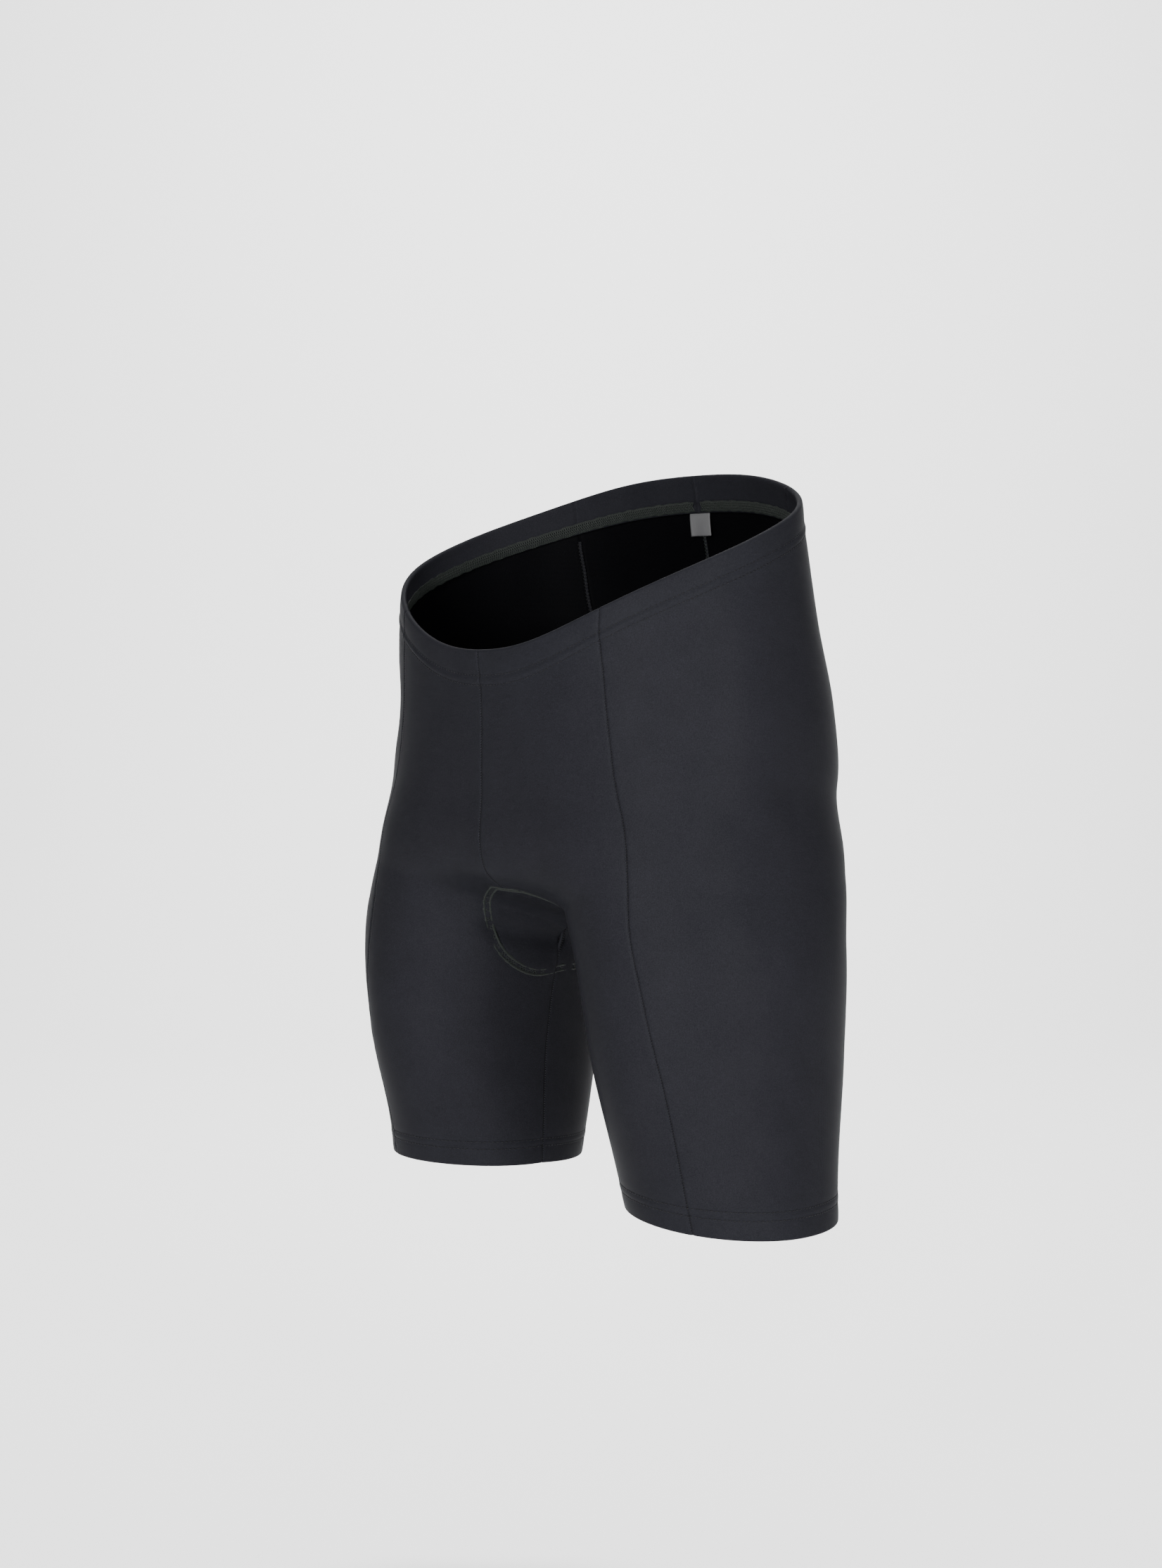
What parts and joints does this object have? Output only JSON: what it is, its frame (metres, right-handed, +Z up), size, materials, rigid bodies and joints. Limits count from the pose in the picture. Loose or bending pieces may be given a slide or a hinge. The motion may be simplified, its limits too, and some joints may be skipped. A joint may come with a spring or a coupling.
{
  "type": "sports shorts",
  "caption": "Close-fitting stretch sports shorts in their worn shape, with a turned waist casing, panelled legs, turned hems and a stitched-in seat pad.",
  "frame": {"origin": "on the body's centre line, at the height of the waist's edge over the hips, where the wearer's waist holds the shorts up", "axes": "+Z up, the wearer facing -Y, the wearer's left towards +X"},
  "size_m": [0.3906, 0.2535, 0.5003],
  "materials": {
    "cloth": "black stretch knit with a soft satin sheen",
    "pad": "matt charcoal microfibre",
    "tab": "light grey woven tape"
  },
  "bodies": {
    "root": {"front_panel_left": "cloth", "front_panel_right": "cloth", "side_panel_left": "cloth", "side_panel_right": "cloth", "back_panel_left": "cloth", "back_panel_right": "cloth", "seat_pad": "pad", "size_label": "tab"}
  },
  "joints": []
}
